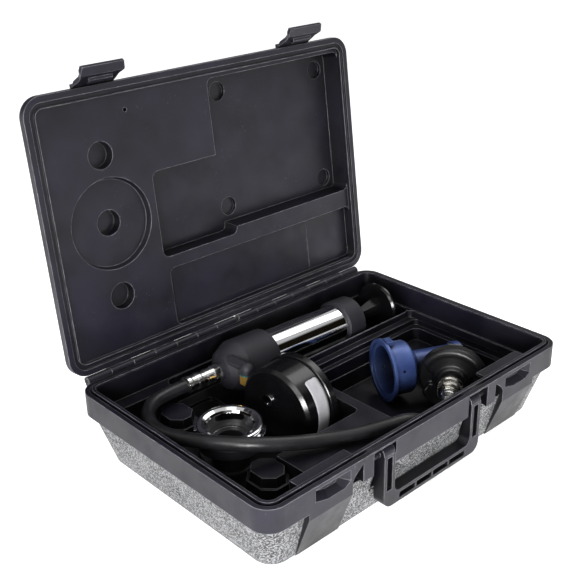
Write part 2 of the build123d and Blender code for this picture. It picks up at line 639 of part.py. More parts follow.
def make_blue_adapter():
    at = level_frame(BLUE_AT, BLUE_YAW)
    outside = [(0, 0), (31.5, 0), (31.5, 3), (26.8, 4.2), (26.4, 24), (25.2, 26), (14.4, 32), (13.5, 34),
               (13, 76), (15.2, 77), (15.2, 84), (14.2, 85), (0, 85)]
    inside = [(0, -1), (27.5, -1), (27.5, 1.6), (24.2, 2.6), (23.8, 22), (11, 29), (10.5, 86), (0, 86)]
    body = turned(*outside) - turned(*inside)
    body -= Pos(24, -9, 12) * Rot(0, 90, 0) * Cylinder(1.3, 12)
    body -= (Pos(24, -9, 12) * Rot(0, 90, 0) * Cylinder(1.3, 12)).rotate(Axis.Z, 180)
    for turn in (0, 180):
        lug = block(-5, 5, 28, 32.5, 2, 9)
        body += lug.rotate(Axis.Z, turn)
    gasket = ring(23.6, 12.5, 20.5, 22.2)
    gasket &= turned((0, 2), (24.2, 2.6), (23.8, 22), (11, 29), (0, 29))
    return {"blue_adapter": at * body, "blue_adapter_gasket": at * gasket}


def make_neck_adapter():
    at = Pos(NECK_AT[0], NECK_AT[1], 0)
    pieces = {}
    top = NECK_TOP
    # pressed steel filler neck with a rolled lip, a seat, and a cam flange with two notches
    neck = turned((24.4, top - 10), (26.2, top - 10), (26.2, top - 7.4), (31, top - 7.4), (31, top - 6),
                  (26.2, top - 5.4), (26.2, top - 3), (NECK_R - 0.5, top - 2.6), (NECK_R, top - 1.4),
                  (NECK_R - 0.6, top - 0.4), (NECK_R - 1.8, top), (24.6, top), (21.6, top - 1.4), (20.2, top - 3.6),
                  (20.2, top - 14.5), (15.5, top - 14.5), (15.5, top - 16), (24.4, top - 16))
    for turn in (-25, 155):
        neck -= block(26.6, 33, -6, 6, top - 8, top - 5).rotate(Axis.Z, turn)
    pieces["filler_neck"] = at * neck
    body = turned((24.4, 44), (27.4, 44), (NECK_R, 44.8), (NECK_R, top - 11), (27.2, top - 10), (24.4, top - 10))
    floor = LEFT_FLOOR
    seat = top - 16.1
    body += turned((12.5, floor), (18.5, floor), (18.5, 24), (16.5, 25), (16.5, 43), (24.4, 44), (24.4, seat),
                   (12.5, seat))
    pieces["neck_adapter_body"] = at * body
    pieces["neck_adapter_gasket"] = at * ring(20.1, 15.6, top - 14.5, top - 13.2)
    return pieces


def build():
    pump = pump_frame()
    parts = {"case_base": make_base(), "case_lid": make_lid()}
    parts["hinge_pin_left"] = make_hinge_pin(-1)
    parts["hinge_pin_right"] = make_hinge_pin(1)
    parts["latch_left"] = make_latch(-1)
    parts["latch_right"] = make_latch(1)
    parts["carry_handle"] = make_handle()
    parts["pump_barrel"] = make_barrel(pump)
    parts["pump_head"] = make_head(pump)
    parts["barrel_end_collar"] = make_collar(pump)
    parts["pump_knob"] = make_knob(pump)
    parts.update(make_pump_inside(pump))
    parts.update(make_relief_valve())
    parts["hose_nut"] = make_hose_nut(pump)
    parts["pump_end_ferrule"] = make_pump_ferrule(pump)
    parts["pressure_hose"] = make_hose()
    gauge_at, gauge = make_gauge(pump)
    parts.update(gauge)
    parts["gauge_nipple"] = make_gauge_nipple()
    parts.update(make_test_head(level_frame(TEST_AT, TEST_YAW)))
    parts.update(make_blue_adapter())
    parts.update(make_neck_adapter())
    return parts


os.makedirs("parts", exist_ok=True)
for name, solid in build().items():
    export_step(solid, "parts/" + name + ".step")
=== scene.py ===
import math
import bmesh
import bpy
from mathutils import Matrix, Vector


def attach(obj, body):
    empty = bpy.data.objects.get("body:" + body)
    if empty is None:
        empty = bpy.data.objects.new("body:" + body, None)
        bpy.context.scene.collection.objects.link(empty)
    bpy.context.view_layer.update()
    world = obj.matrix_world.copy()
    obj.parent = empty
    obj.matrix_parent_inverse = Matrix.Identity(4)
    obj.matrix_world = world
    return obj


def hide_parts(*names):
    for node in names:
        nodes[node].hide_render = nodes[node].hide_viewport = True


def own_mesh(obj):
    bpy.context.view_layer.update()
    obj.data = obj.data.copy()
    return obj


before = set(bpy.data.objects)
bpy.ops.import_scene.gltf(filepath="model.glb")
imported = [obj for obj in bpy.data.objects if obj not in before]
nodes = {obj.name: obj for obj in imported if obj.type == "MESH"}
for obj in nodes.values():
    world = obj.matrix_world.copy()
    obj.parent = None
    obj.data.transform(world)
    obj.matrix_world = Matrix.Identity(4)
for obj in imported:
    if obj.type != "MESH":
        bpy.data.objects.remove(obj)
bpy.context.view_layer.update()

mm = 0.001
scene = bpy.context.scene


# Camera, at the photograph's angle

cameraSettings = {
    "place": (-561.2, -553.0, 512.5),
    "right": (0.7311, -0.6820, -0.0181),
    "up": (0.2953, 0.2923, 0.9096),
    "focalPixels": 971.86,
    "frameHeight": 570,
    "sensor": 36,
    "nearest": 50,
    "furthest": 60000,
}

def makeCamera(s):
    data = bpy.data.cameras.new("studioCamera")
    data.sensor_width = s["sensor"]
    data.lens = s["focalPixels"] * s["sensor"] / s["frameHeight"]
    data.clip_start = s["nearest"] * mm
    data.clip_end = s["furthest"] * mm
    camera = bpy.data.objects.new("studioCamera", data)
    scene.collection.objects.link(camera)
    right = Vector(s["right"]).normalized()
    up = Vector(s["up"])
    up = (up - right * up.dot(right)).normalized()
    turn = Matrix((right, up, right.cross(up))).transposed()
    camera.matrix_world = Matrix.Translation(Vector(s["place"]) * mm) @ turn.to_4x4()
    scene.camera = camera

makeCamera(cameraSettings)
print("camera set")


# Node trees

def hexColour(text):
    # sRGB hex to the linear colour that shaders use
    channels = [int(text[i:i + 2], 16) / 255 for i in (1, 3, 5)]
    return [c / 12.92 if c <= 0.04045 else ((c + 0.055) / 1.055) ** 2.4 for c in channels] + [1.0]

def feed(tree, node, inputs):
    # an input gets a value, a hex colour, a socket, or a node that stands for its first output
    for name, value in inputs.items():
        if isinstance(value, bpy.types.Node):
            value = value.outputs[0]
        if isinstance(value, bpy.types.NodeSocket):
            tree.links.new(value, node.inputs[name])
        else:
            node.inputs[name].default_value = hexColour(value) if isinstance(value, str) else value

def addNode(tree, kind, inputs=None, **settings):
    node = tree.nodes.new(kind)
    for name, value in settings.items():
        setattr(node, name, value)
    feed(tree, node, inputs or {})
    return node

def startMaterial(name, inputs):
    # the shader's fixed values, and the place on the piece in metres
    material = bpy.data.materials.new(name)
    material.use_nodes = True
    tree = material.node_tree
    shader = tree.nodes["Principled BSDF"]
    feed(tree, shader, inputs)
    return material, tree, shader, addNode(tree, "ShaderNodeTexCoord").outputs["Object"]

def grain(tree, place, s):
    # a noise with blotches of `size` millimetres, and the same with its span brought to what it gives
    noise = addNode(tree, "ShaderNodeTexNoise", {
        "Vector": place, "Scale": 1000 / s["size"],
        "Detail": s.get("detail", 2), "Roughness": s.get("rough", 0.5)})
    low, high = s.get("span", (0.3, 0.7))
    least, most = s.get("gives", (0, 1))
    return noise, addNode(tree, "ShaderNodeMapRange", {
        "Value": noise, "From Min": low, "From Max": high, "To Min": least, "To Max": most})

def paint(tree, under, *layers):
    # each layer is a mask and the colour that it lays over the ones before
    for mask, colour in layers:
        under = addNode(tree, "ShaderNodeMix", {0: mask, 6: under, 7: colour}, data_type="RGBA").outputs[2]
    return under

def overlap(tree, first, *others):
    # the mask that is left where all of these meet
    for other in others:
        first = addNode(tree, "ShaderNodeMath", {0: first, 1: other}, operation="MULTIPLY")
    return first

def hollowMask(tree, s):
    # the mask of painted shade: 0 in the open, 1 deep in a recess within the given reach in millimetres
    shade = addNode(tree, "ShaderNodeAmbientOcclusion", {"Distance": s["hollowReach"] * mm}, samples=8)
    low, high = s["hollowSpan"]
    return addNode(tree, "ShaderNodeMapRange", {
        "Value": shade.outputs["AO"], "From Min": low, "From Max": high, "To Min": 1, "To Max": 0})

def edgeMask(tree, rounded, s):
    # 1 along the edges, where the rounded normal leaves the face's own, 0 on the faces
    face = addNode(tree, "ShaderNodeNewGeometry").outputs["True Normal"]
    same = addNode(tree, "ShaderNodeVectorMath", {0: rounded, 1: face}, operation="DOT_PRODUCT")
    full, none = s["edgeSpan"]
    return addNode(tree, "ShaderNodeMapRange", {
        "Value": same.outputs["Value"], "From Min": full, "From Max": none, "To Min": 1, "To Max": 0})

def grainedMaterial(name, kind, colours, roughness, **changes):
    # two close colours in a slow cloud, under a fine grain that moves both the gloss and the surface
    s = {**kind, **changes}
    material, tree, shader, place = startMaterial(name, s["shader"])
    skin = paint(tree, colours[0], (grain(tree, place, s["cloud"])[1], colours[1]))
    # painted shade in the recesses, where the kind gives a colour for it
    if "hollow" in s:
        skin = paint(tree, skin, (hollowMask(tree, s), s["hollow"]))
    gives = [roughness + change for change in s["glossSpread"]]
    fine, gloss = grain(tree, place, {"size": s["fineSize"], "gives": gives})
    surface = {"Height": fine, "Distance": s["depth"] * mm, "Strength": s["strength"]}
    if s["edge"]:
        surface["Normal"] = addNode(tree, "ShaderNodeBevel", {"Radius": s["edge"] * mm}, samples=6)
    feed(tree, shader, {
        "Base Color": skin, "Roughness": gloss, "Normal": addNode(tree, "ShaderNodeBump", surface)})
    return material


# Meshes and pieces

def dress(name, material):
    mesh = nodes[name].data
    mesh.materials.clear()
    mesh.materials.append(material)

def bakedMesh(holder, name):
    # the plain mesh that a holder's text or modifiers make; the holder goes
    bpy.context.view_layer.update()
    mesh = bpy.data.meshes.new_from_object(holder.evaluated_get(bpy.context.evaluated_depsgraph_get()))
    bpy.data.objects.remove(holder)
    mesh.name = name
    return mesh

def smoothFaces(mesh):
    for face in mesh.polygons:
        face.use_smooth = True

def levelFrame(s):
    # z along a level axis; x to the right and y up for someone who looks back along it
    a = math.radians(s["turn"])
    along = Vector((math.cos(a), math.sin(a), 0))
    right = Vector((-math.sin(a), math.cos(a), 0))
    turn = Matrix((right, Vector((0, 0, 1)), along)).transposed()
    return Matrix.Translation(Vector(s["middle"]) * mm) @ turn.to_4x4()

def linkPiece(name, mesh, material, body):
    piece = bpy.data.objects.new(name, mesh)
    scene.collection.objects.link(piece)
    mesh.materials.clear()
    mesh.materials.append(material)
    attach(piece, body)
    return piece


hoseSettings = {
    "points": [
        (-104.0, 80.8, 58.5), (-135.3, 80.4, 59.9), (-154.9, 69.4, 59.9), (-166.8, 49.8, 59.1),
        (-167.4, 26.0, 59.5), (-160.0, 1.0, 63.0), (-150.5, -24.0, 67.5), (-133.5, -45.5, 68.5),
        (-108.0, -58.0, 63.0), (-80.0, -68.5, 58.0), (-51.0, -83.5, 57.2), (-21.0, -95.0, 58.6),
        (2.0, -101.0, 57.9), (24.1, -104.5, 43.7), (45.9, -102.6, 40.4), (64.5, -90.7, 40.4),
    ],
    "diameter": 12.6,
    "length": 396.0,
    "stepsAlong": 10,
    "stepsRound": 8,
}

# nitrile rubber, extruded or moulded: soft sheen, faint streaks of release powder
rubberKind = {
    "shader": {"Specular IOR Level": 0.4},
    "cloud": {"size": 14, "detail": 3, "span": (0.4, 0.7)},
    "fineSize": 1.5,
    "glossSpread": (-0.08, 0.1),
    "depth": 0.05,
    "strength": 0.5,
    "edge": 0,
}

def makeHose(s, material):
    curve = bpy.data.curves.new("pressureHose", "CURVE")
    curve.dimensions = "3D"
    curve.bevel_depth = s["diameter"] / 2 * mm
    curve.bevel_resolution = s["stepsRound"]
    curve.resolution_u = s["stepsAlong"]
    curve.use_fill_caps = True
    spline = curve.splines.new("NURBS")
    spline.points.add(len(s["points"]) - 1)
    for point, place in zip(spline.points, s["points"]):
        point.co = [c * mm for c in place] + [1]
    spline.order_u = 3
    spline.use_endpoint_u = True
    hose = bpy.data.objects.new("pressureHose", curve)
    scene.collection.objects.link(hose)
    curve.materials.append(material)
    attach(hose, "case")
    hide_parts("pressure_hose")

makeHose(hoseSettings, grainedMaterial("smoothHoseRubber", rubberKind, ("#141416", "#1f1f22"), 0.36))
print("hose laid")


# Case plastic

plasticSettings = {
    "specular": 0.42,
    "dark": "#0b0a14",
    "pale": "#1b1927",
    "cloud": {"size": 45, "detail": 4, "rough": 0.6, "span": (0.35, 0.7)},
    "scuffColour": "#55535f",
    "scuff": {"size": 2.6, "detail": 5, "rough": 0.65, "span": (0.62, 0.7), "gives": (0, 0.6)},
    "scuffedPatch": {"size": 55, "span": (0.5, 0.62)},
    # painted shade, darkening the skin in recesses, wells and between parts
    "hollow": "#030305",
    "hollowReach": 70,
    "hollowSpan": (0.35, 0.9),
    "edge": 1.0,
    # painted highlight along the edges, weaker in the painted shade and broken into patches
    "edgeHighlightColour": "#86858c",
    "edgeSpan": (0.9, 0.99),
    "edgeHighlightInShade": 0.15,
    "edgeHighlightPatches": {"size": 9, "detail": 3, "span": (0.35, 0.6), "gives": (0.4, 1)},
    "fine": {"size": 0.9, "detail": 3, "gives": (-0.04, 0.05)},
    "fineDepth": 0.05,
    "fineStrength": 0.3,
    "gloss": {"size": 24, "span": (0.35, 0.65), "gives": (0.33, 0.48)},
    "stippleDark": "#0b0b0c",
    # painted highlights: the pale specks stand in for glints on the stipple's pebbles
    "stippleGlint": "#8b8c8e",
    "speck": {"size": 1.6, "rough": 0.6, "span": (0.48, 0.55)},
    "pebble": 1.5,
    "stippleDepth": 0.3,
    "stippleStrength": 0.8,
    "bandFoot": 49.7,
    "footHalf": (173, 109),
    "lean": 0.26,
    "cornerRadius": 18,
    "wallDepth": 2,
    "plateMiddle": 123,
    "plateHalf": 24.2,
}

def stippleMask(tree, place, s):
    # the base's outer walls below the band, which lean out from the foot and turn round the corners
    x, y, z = addNode(tree, "ShaderNodeSeparateXYZ", {"Vector": place}).outputs
    straight = [(half - s["cornerRadius"]) * mm for half in s["footHalf"]]
    wall = addNode(tree, "ShaderNodeVectorMath", {0: z, 1: (s["lean"], s["lean"], 0), 2: (*straight, 1)},
                   operation="MULTIPLY_ADD")
    side = addNode(tree, "ShaderNodeVectorMath", {0: place}, operation="ABSOLUTE")
    past = addNode(tree, "ShaderNodeVectorMath", {0: side, 1: wall}, operation="SUBTRACT")
    past = addNode(tree, "ShaderNodeVectorMath", {0: past, 1: (0, 0, 0)}, operation="MAXIMUM")
    distance = addNode(tree, "ShaderNodeVectorMath", {0: past}, operation="LENGTH").outputs["Value"]
    nearWall = (s["cornerRadius"] - s["wallDepth"]) * mm
    outside = addNode(tree, "ShaderNodeMath", {0: distance, 1: nearWall}, operation="GREATER_THAN")
    low = addNode(tree, "ShaderNodeMath", {0: z, 1: s["bandFoot"] * mm}, operation="LESS_THAN")
    # less the two smooth catch plates at the front
    across = addNode(tree, "ShaderNodeMath", {0: x}, operation="ABSOLUTE")
    plate = addNode(tree, "ShaderNodeMath", {0: across, 1: s["plateMiddle"] * mm, 2: s["plateHalf"] * mm},
                    operation="COMPARE")
    front = addNode(tree, "ShaderNodeMath", {0: y, 1: 0.0}, operation="LESS_THAN")
    free = addNode(tree, "ShaderNodeMath", {0: 1.0, 1: overlap(tree, plate, front)}, operation="SUBTRACT")
    return overlap(tree, outside, low, free)

def casePlasticMaterial(name, s, stippled):
    # blow-moulded polyethylene: satin violet-black skin, with painted shade in the recesses and a painted
    # highlight along its edges, broken into patches
    material, tree, shader, place = startMaterial(name, {"Specular IOR Level": s["specular"]})
    cloud, scuff, patch, edgeHighlightPatches, gloss = (
        grain(tree, place, s[part])[1] for part in ("cloud", "scuff", "scuffedPatch", "edgeHighlightPatches", "gloss"))
    fine, fineGloss = grain(tree, place, s["fine"])
    # painted shade in the recesses
    hollow = hollowMask(tree, s)
    rounded = addNode(tree, "ShaderNodeBevel", {"Radius": s["edge"] * mm}, samples=6)
    # painted highlight along the edges, where a rounded edge would catch the light
    highlightOutOfShade = addNode(tree, "ShaderNodeMapRange", {
        "Value": hollow, "To Min": 1, "To Max": s["edgeHighlightInShade"]})
    paintedEdgeHighlight = overlap(tree, edgeMask(tree, rounded, s), highlightOutOfShade, edgeHighlightPatches)
    skin = paint(tree, s["dark"], (cloud, s["pale"]), (overlap(tree, scuff, patch), s["scuffColour"]),
                 (hollow, s["hollow"]), (paintedEdgeHighlight, s["edgeHighlightColour"]))
    normal = addNode(tree, "ShaderNodeBump", {
        "Height": fine, "Distance": s["fineDepth"] * mm, "Strength": s["fineStrength"], "Normal": rounded})
    if stippled:
        # below the base's band the mould was stippled, drawn a little coarser than real so that it shows
        outside = stippleMask(tree, place, s)
        speck, bright = grain(tree, place, s["speck"])
        pebble = addNode(tree, "ShaderNodeTexVoronoi", {"Vector": place, "Scale": 1000 / s["pebble"]})
        # painted highlights: pale specks as glints on the pebbles, laid over the dark stipple
        skin = paint(tree, skin, (outside, paint(tree, s["stippleDark"], (bright, s["stippleGlint"]))))
        height = addNode(tree, "ShaderNodeMath", {0: speck, 1: pebble}, operation="ADD")
        normal = addNode(tree, "ShaderNodeBump", {
            "Height": overlap(tree, height, outside), "Distance": s["stippleDepth"] * mm,
            "Strength": s["stippleStrength"], "Normal": normal})
    roughness = addNode(tree, "ShaderNodeMath", {0: fineGloss, 1: gloss}, operation="ADD")
    feed(tree, shader, {"Base Color": skin, "Roughness": roughness, "Normal": normal})
    return material

caseSkin = casePlasticMaterial("blowMouldedPolyethylene", plasticSettings, False)
dress("case_base", casePlasticMaterial("blowMouldedPolyethyleneStippled", plasticSettings, True))
for name in ("case_lid", "carry_handle", "latch_left", "latch_right"):
    dress(name, caseSkin)
print("case dressed")


# Moulded, plated and turned finishes

# glass-filled nylon from a spark-eroded mould: even satin, its grain drawn coarse enough to show
nylonKind = {
    "shader": {"Specular IOR Level": 0.45},
    "cloud": {"size": 25, "span": (0.35, 0.7)},
    "fineSize": 0.6,
    "glossSpread": (-0.06, 0.08),
    "depth": 0.04,
    "strength": 0.4,
    "edge": 0.5,
}

# aluminium, bead-blasted and dyed blue: satin, its dye paled as a painted sheen and made nearly black
# down in the bore as painted shade; its blasted grain drawn coarse enough to show
anodisedKind = {
    "shader": {"Metallic": 0.3},
    "cloud": {"size": 18, "detail": 3},
    # painted shade down in the bore
    "hollow": "#070a1c",
    "hollowReach": 45,
    "hollowSpan": (0.42, 0.88),
    "fineSize": 0.5,
    "glossSpread": (-0.08, 0.08),
    "depth": 0.03,
    "strength": 0.5,
    "edge": 0.8,
}

metalSettings = {
    "edge": 0.3,
    "cloudSize": 8,
    "glossSpread": (-0.04, 0.05),
    "smoothest": 0.02,
    "marks": {"Scale": 1000 / 0.5, "Detail": 1},
    "markDepth": 0.02,
}

def metalMaterial(name, colour, roughness, streak=0.0, metallic=1.0):
    # plated or turned metal; streak is how strongly the tool marks show, which are drawn coarse,
    # and a film or tarnish is less metallic
    s = metalSettings
    material, tree, shader, place = startMaterial(name, {"Base Color": colour, "Metallic": metallic})
    gives = [max(roughness + change, s["smoothest"]) for change in s["glossSpread"]]
    gloss = grain(tree, place, {"size": s["cloudSize"], "gives": gives})[1]
    normal = addNode(tree, "ShaderNodeBevel", {"Radius": s["edge"] * mm}, samples=6)
    if streak:
        marks = addNode(tree, "ShaderNodeTexNoise", {"Vector": place, **s["marks"]})
        normal = addNode(tree, "ShaderNodeBump", {
            "Height": marks, "Distance": s["markDepth"] * mm, "Strength": streak, "Normal": normal})
    feed(tree, shader, {"Roughness": gloss, "Normal": normal})
    return material

def lensMaterial(name, s):
    # clear acrylic window, faintly hazed by wiping
    material, tree, shader, place = startMaterial(name, s["shader"])
    feed(tree, shader, {"Roughness": grain(tree, place, s["haze"])[1]})
    return material

lensSettings = {
    "shader": {"Base Color": "#f4f8f8", "Transmission Weight": 1.0, "IOR": 1.49},
    "haze": {"size": 20, "detail": 1, "gives": (0.02, 0.05)},
}

# mouldings: dull black, softer still on the pump's sleeve, polished on the knob, satin on the test head
blackNylon = grainedMaterial("glassFilledNylon", nylonKind, ("#111114", "#1b1b20"), 0.5)
softBlack = grainedMaterial("matteMouldedRubberSleeve", nylonKind, ("#17161c", "#201f26"), 0.6)
glossNylon = grainedMaterial("polishedBlackNylon", nylonKind, ("#060607", "#0b0b0d"), 0.16)
testHeadNylon = grainedMaterial("satinBlackNylon", nylonKind, ("#08080a", "#101013"), 0.36, edge=1.2)
# sprayed enamel: wet gloss on the drum, duller on the needle and the warm white dial
gaugeEnamel = grainedMaterial("glossBlackEnamel", nylonKind, ("#070708", "#0c0c0e"), 0.2)
needleEnamel = grainedMaterial("needleEnamel", nylonKind, ("#101012", "#161618"), 0.4)
dialWhite = grainedMaterial("printedDialEnamel", nylonKind, ("#e4e4e0", "#ececea"), 0.4)
# seals: dull, with hardly any sheen
blackRubber = grainedMaterial("mouldedNitrileRubber", rubberKind, ("#131315", "#1e1e21"), 0.5, fineSize=0.8)
greenRubber = grainedMaterial("greenSealRubber", rubberKind, ("#1d5050", "#286a64"), 0.5, fineSize=0.8)
# the dyed colours are paled as a painted sheen
blueAnodised = grainedMaterial("blueAnodisedAluminium", anodisedKind, ("#2a3b70", "#44588c"), 0.34)
clearLens = lensMaterial("acrylicWindow", lensSettings)
chromePlate = metalMaterial("brightChromePlate", "#dcdcde", 0.06)  # a mirror
nickelPlate = metalMaterial("nickelPlate", "#c2bfb8", 0.18, 0.2)  # a warmer, softer mirror
zincPlate = metalMaterial("brightZincPlate", "#d4d4d2", 0.16, 0.3)  # bright, over crimp marks
steelPlain = metalMaterial("turnedSteel", "#a9a8a6", 0.28, 0.3)  # mid grey, satin from the tool
springWire = metalMaterial("drawnSpringWire", "#8c8b89", 0.32, 0.2)  # darker, nearly smooth
aluminiumPlain = metalMaterial("turnedAluminium", "#c9c9cb", 0.3, 0.3)  # paler satin
brassPlain = metalMaterial("turnedBrass", "#cfa452", 0.3, 0.3, metallic=0.75)  # dulled by handling
blackSteel = metalMaterial("blackOxideSteel", "#1c1c1e", 0.5, 0.3, metallic=0.8)  # a matt oxide film

finishes = {
    # pump and relief valve
    "pump_head": softBlack, "barrel_end_collar": softBlack, "pump_knob": glossNylon,
    "pump_barrel": chromePlate,
    "plunger_rod": steelPlain, "rod_guide_bush": blackNylon, "pump_piston": aluminiumPlain,
    "piston_cup_seal": blackRubber, "check_valve_disc": blackRubber, "check_valve_retainer": brassPlain,
    "check_valve_spring": springWire, "relief_valve_body": brassPlain, "relief_valve_pin": blackNylon,
    "relief_valve_seal": greenRubber, "hose_nut": zincPlate, "pump_end_ferrule": zincPlate,
    # gauge
    "gauge_case": gaugeEnamel, "gauge_bezel": gaugeEnamel, "gauge_lens": clearLens, "gauge_dial": dialWhite,
    "gauge_needle": needleEnamel, "needle_arbor": steelPlain, "movement_frame": brassPlain,
    "sector_gear": brassPlain, "bourdon_tube": brassPlain, "gauge_back_screw": chromePlate,
    "gauge_nipple": brassPlain,
    # test head and adapters
    "test_head_body": testHeadNylon, "bayonet_plate": steelPlain, "test_head_spindle": steelPlain,
    "test_head_seal": blackRubber, "test_end_ferrule": zincPlate, "coupler_body": nickelPlate,
    "coupler_sleeve": nickelPlate, "coupler_spring": springWire, "blue_adapter": blueAnodised,
    "blue_adapter_gasket": blackRubber, "neck_adapter_body": blackNylon, "filler_neck": chromePlate,
    "neck_adapter_gasket": blackRubber,
    # case
    "hinge_pin_left": blackSteel, "hinge_pin_right": blackSteel,
}
for name, material in finishes.items():
    dress(name, material)
print("finishes set")


# Gauge: a bare white label round the drum, ticks and numbers on the dial

gaugeSettings = {
    "middle": (-34.3, 2.8, 50.0),
    "turn": 4.6,
    "drumRadius": 40.7,
    "labelStations": (-19.8, -4.7),
    "labelAngles": (36, 118),
    "labelCorner": 2.5,
    "labelGap": 0.02,
    "labelThick": 0.2,
    "labelSteps": 44,
    "labelRows": 6,
    "labelCrowding": 0.11,
    "dialStation": -5.95,
    "firstAngle": 225,
    "sweep": 270,
    "numbers": [0, 5, 10, 15, 20, 25, 30, 35],
    "numberRadius": 25.5,
    "numberHeight": 5.2,
    "numberThick": 0.04,
    "tickRadius": 34.5,
    "tick": {"Height": 2.6 * mm, "Width": 0.5 * mm, "Depth": 0.08 * mm, "Longer": 0.9, "Count": 36},
}

# matt white vinyl, cut and pressed on: a little grey, greyer where it was handled
vinylKind = {
    "shader": {"Specular IOR Level": 0.4},
    "cloud": {"size": 9, "detail": 4, "span": (0.35, 0.75)},
    "fineSize": 0.8,
    "glossSpread": (-0.05, 0.1),
    "depth": 0.03,
    "strength": 0.4,
    "edge": 0,
}
whiteVinyl = grainedMaterial("whiteVinylLabel", vinylKind, ("#a3a3a6", "#909094"), 0.5)

def labelMesh(s):
    # a strip with rounded corners, wrapped round the drum
    low, high = s["labelStations"]
    first, last = s["labelAngles"]
    cornerAngle = math.degrees(s["labelCorner"] / s["drumRadius"])
    radius = s["drumRadius"] + s["labelGap"]
    mesh = bmesh.new()
    rows = []
    for i in range(s["labelSteps"] + 1):
        # the steps crowd towards both ends, where the corners turn
        share = i / s["labelSteps"]
        angle = first + (last - first) * (share - math.sin(2 * math.pi * share) * s["labelCrowding"])
        fromEnd = max(0.0, min(1.0, (angle - first) / cornerAngle, (last - angle) / cornerAngle))
        pull = s["labelCorner"] * (1 - math.sqrt(1 - (1 - fromEnd) ** 2))
        width = high - low - 2 * pull
        a = math.radians(angle)
        rows.append([mesh.verts.new((-math.sin(a) * radius * mm, math.cos(a) * radius * mm,
                                     (low + pull + width * j / s["labelRows"]) * mm))
                     for j in range(s["labelRows"] + 1)])
    for here, there in zip(rows, rows[1:]):
        for j in range(s["labelRows"]):
            mesh.faces.new((here[j], there[j], there[j + 1], here[j + 1]))
    data = bpy.data.meshes.new("gaugeLabel")
    mesh.to_mesh(data)
    mesh.free()
    smoothFaces(data)
    return data

def makeLabel(s):
    mesh = labelMesh(s)
    mesh.transform(levelFrame(s))
    piece = linkPiece("gaugeLabel", mesh, whiteVinyl, "case")
    thick = piece.modifiers.new("thickness", "SOLIDIFY")
    thick.thickness = s["labelThick"] * mm
    thick.offset = 1

def inkMaterial(name, s):
    # screen-printed black ink, slightly uneven
    material, tree, shader, place = startMaterial(name, {"Specular IOR Level": s["specular"]})
    cloud, gloss = grain(tree, place, s["cloud"])
    feed(tree, shader, {"Base Color": paint(tree, s["dark"], (cloud, s["pale"])), "Roughness": gloss})
    return material

inkSettings = {
    "specular": 0.4,
    "dark": "#101011",
    "pale": "#1e1e20",
    "cloud": {"size": 3, "gives": (0.4, 0.55)},
}
dialInk = inkMaterial("screenPrintedInk", inkSettings)

def barTree():
    # equal bars on an arc, standing outwards, the first and every fifth after it stretched by Longer
    tree = bpy.data.node_groups.new("barsOnArc", "GeometryNodeTree")
    sizes = dict.fromkeys(("Radius", "Height", "Width", "Depth", "Start", "Sweep", "Longer"), "Float")
    for name, kind in {**sizes, "Count": "Int", "Finish": "Material"}.items():
        tree.interface.new_socket(name, in_out="INPUT", socket_type="NodeSocket" + kind)
    tree.interface.new_socket("Geometry", in_out="OUTPUT", socket_type="NodeSocketGeometry")
    given = addNode(tree, "NodeGroupInput").outputs
    arc = addNode(tree, "GeometryNodeCurveArc", {
        "Resolution": given["Count"], "Radius": given["Radius"], "Start Angle": given["Start"],
        "Sweep Angle": given["Sweep"]})
    points = addNode(tree, "GeometryNodeCurveToPoints", {"Curve": arc, "Count": given["Count"]},
                     mode="COUNT")
    size = addNode(tree, "ShaderNodeCombineXYZ", {
        "X": given["Width"], "Y": given["Height"], "Z": given["Depth"]})
    bar = addNode(tree, "GeometryNodeMeshCube", {"Size": size})
    place = addNode(tree, "GeometryNodeInputPosition")
    outward = addNode(tree, "FunctionNodeAlignEulerToVector", {"Vector": place}, axis="Y", pivot_axis="Z")
    number = addNode(tree, "GeometryNodeInputIndex")
    inFive = addNode(tree, "ShaderNodeMath", {0: number, 1: 5.0}, operation="MODULO")
    fifth = addNode(tree, "ShaderNodeMath", {0: inFive, 1: 0.5}, operation="LESS_THAN")
    stretch = addNode(tree, "ShaderNodeMath", {0: fifth, 1: given["Longer"], 2: 1.0},
                      operation="MULTIPLY_ADD")
    scale = addNode(tree, "ShaderNodeCombineXYZ", {"X": 1.0, "Y": stretch, "Z": 1.0})
    bars = addNode(tree, "GeometryNodeInstanceOnPoints", {
        "Points": points, "Instance": bar, "Rotation": outward, "Scale": scale})
    real = addNode(tree, "GeometryNodeRealizeInstances", {"Geometry": bars})
    done = addNode(tree, "GeometryNodeSetMaterial", {"Geometry": real, "Material": given["Finish"]})
    addNode(tree, "NodeGroupOutput", {0: done})
    return tree

barsOnArc = barTree()

def grownMesh(name, tree, values):
    # the mesh that a Geometry Nodes tree makes from these named inputs
    holder = bpy.data.objects.new(name, bpy.data.meshes.new(name))
    scene.collection.objects.link(holder)
    modifier = holder.modifiers.new("shape", "NODES")
    modifier.node_group = tree
    for item in tree.interface.items_tree:
        if item.in_out == "INPUT":
            modifier[item.identifier] = values[item.name]
    return bakedMesh(holder, name)

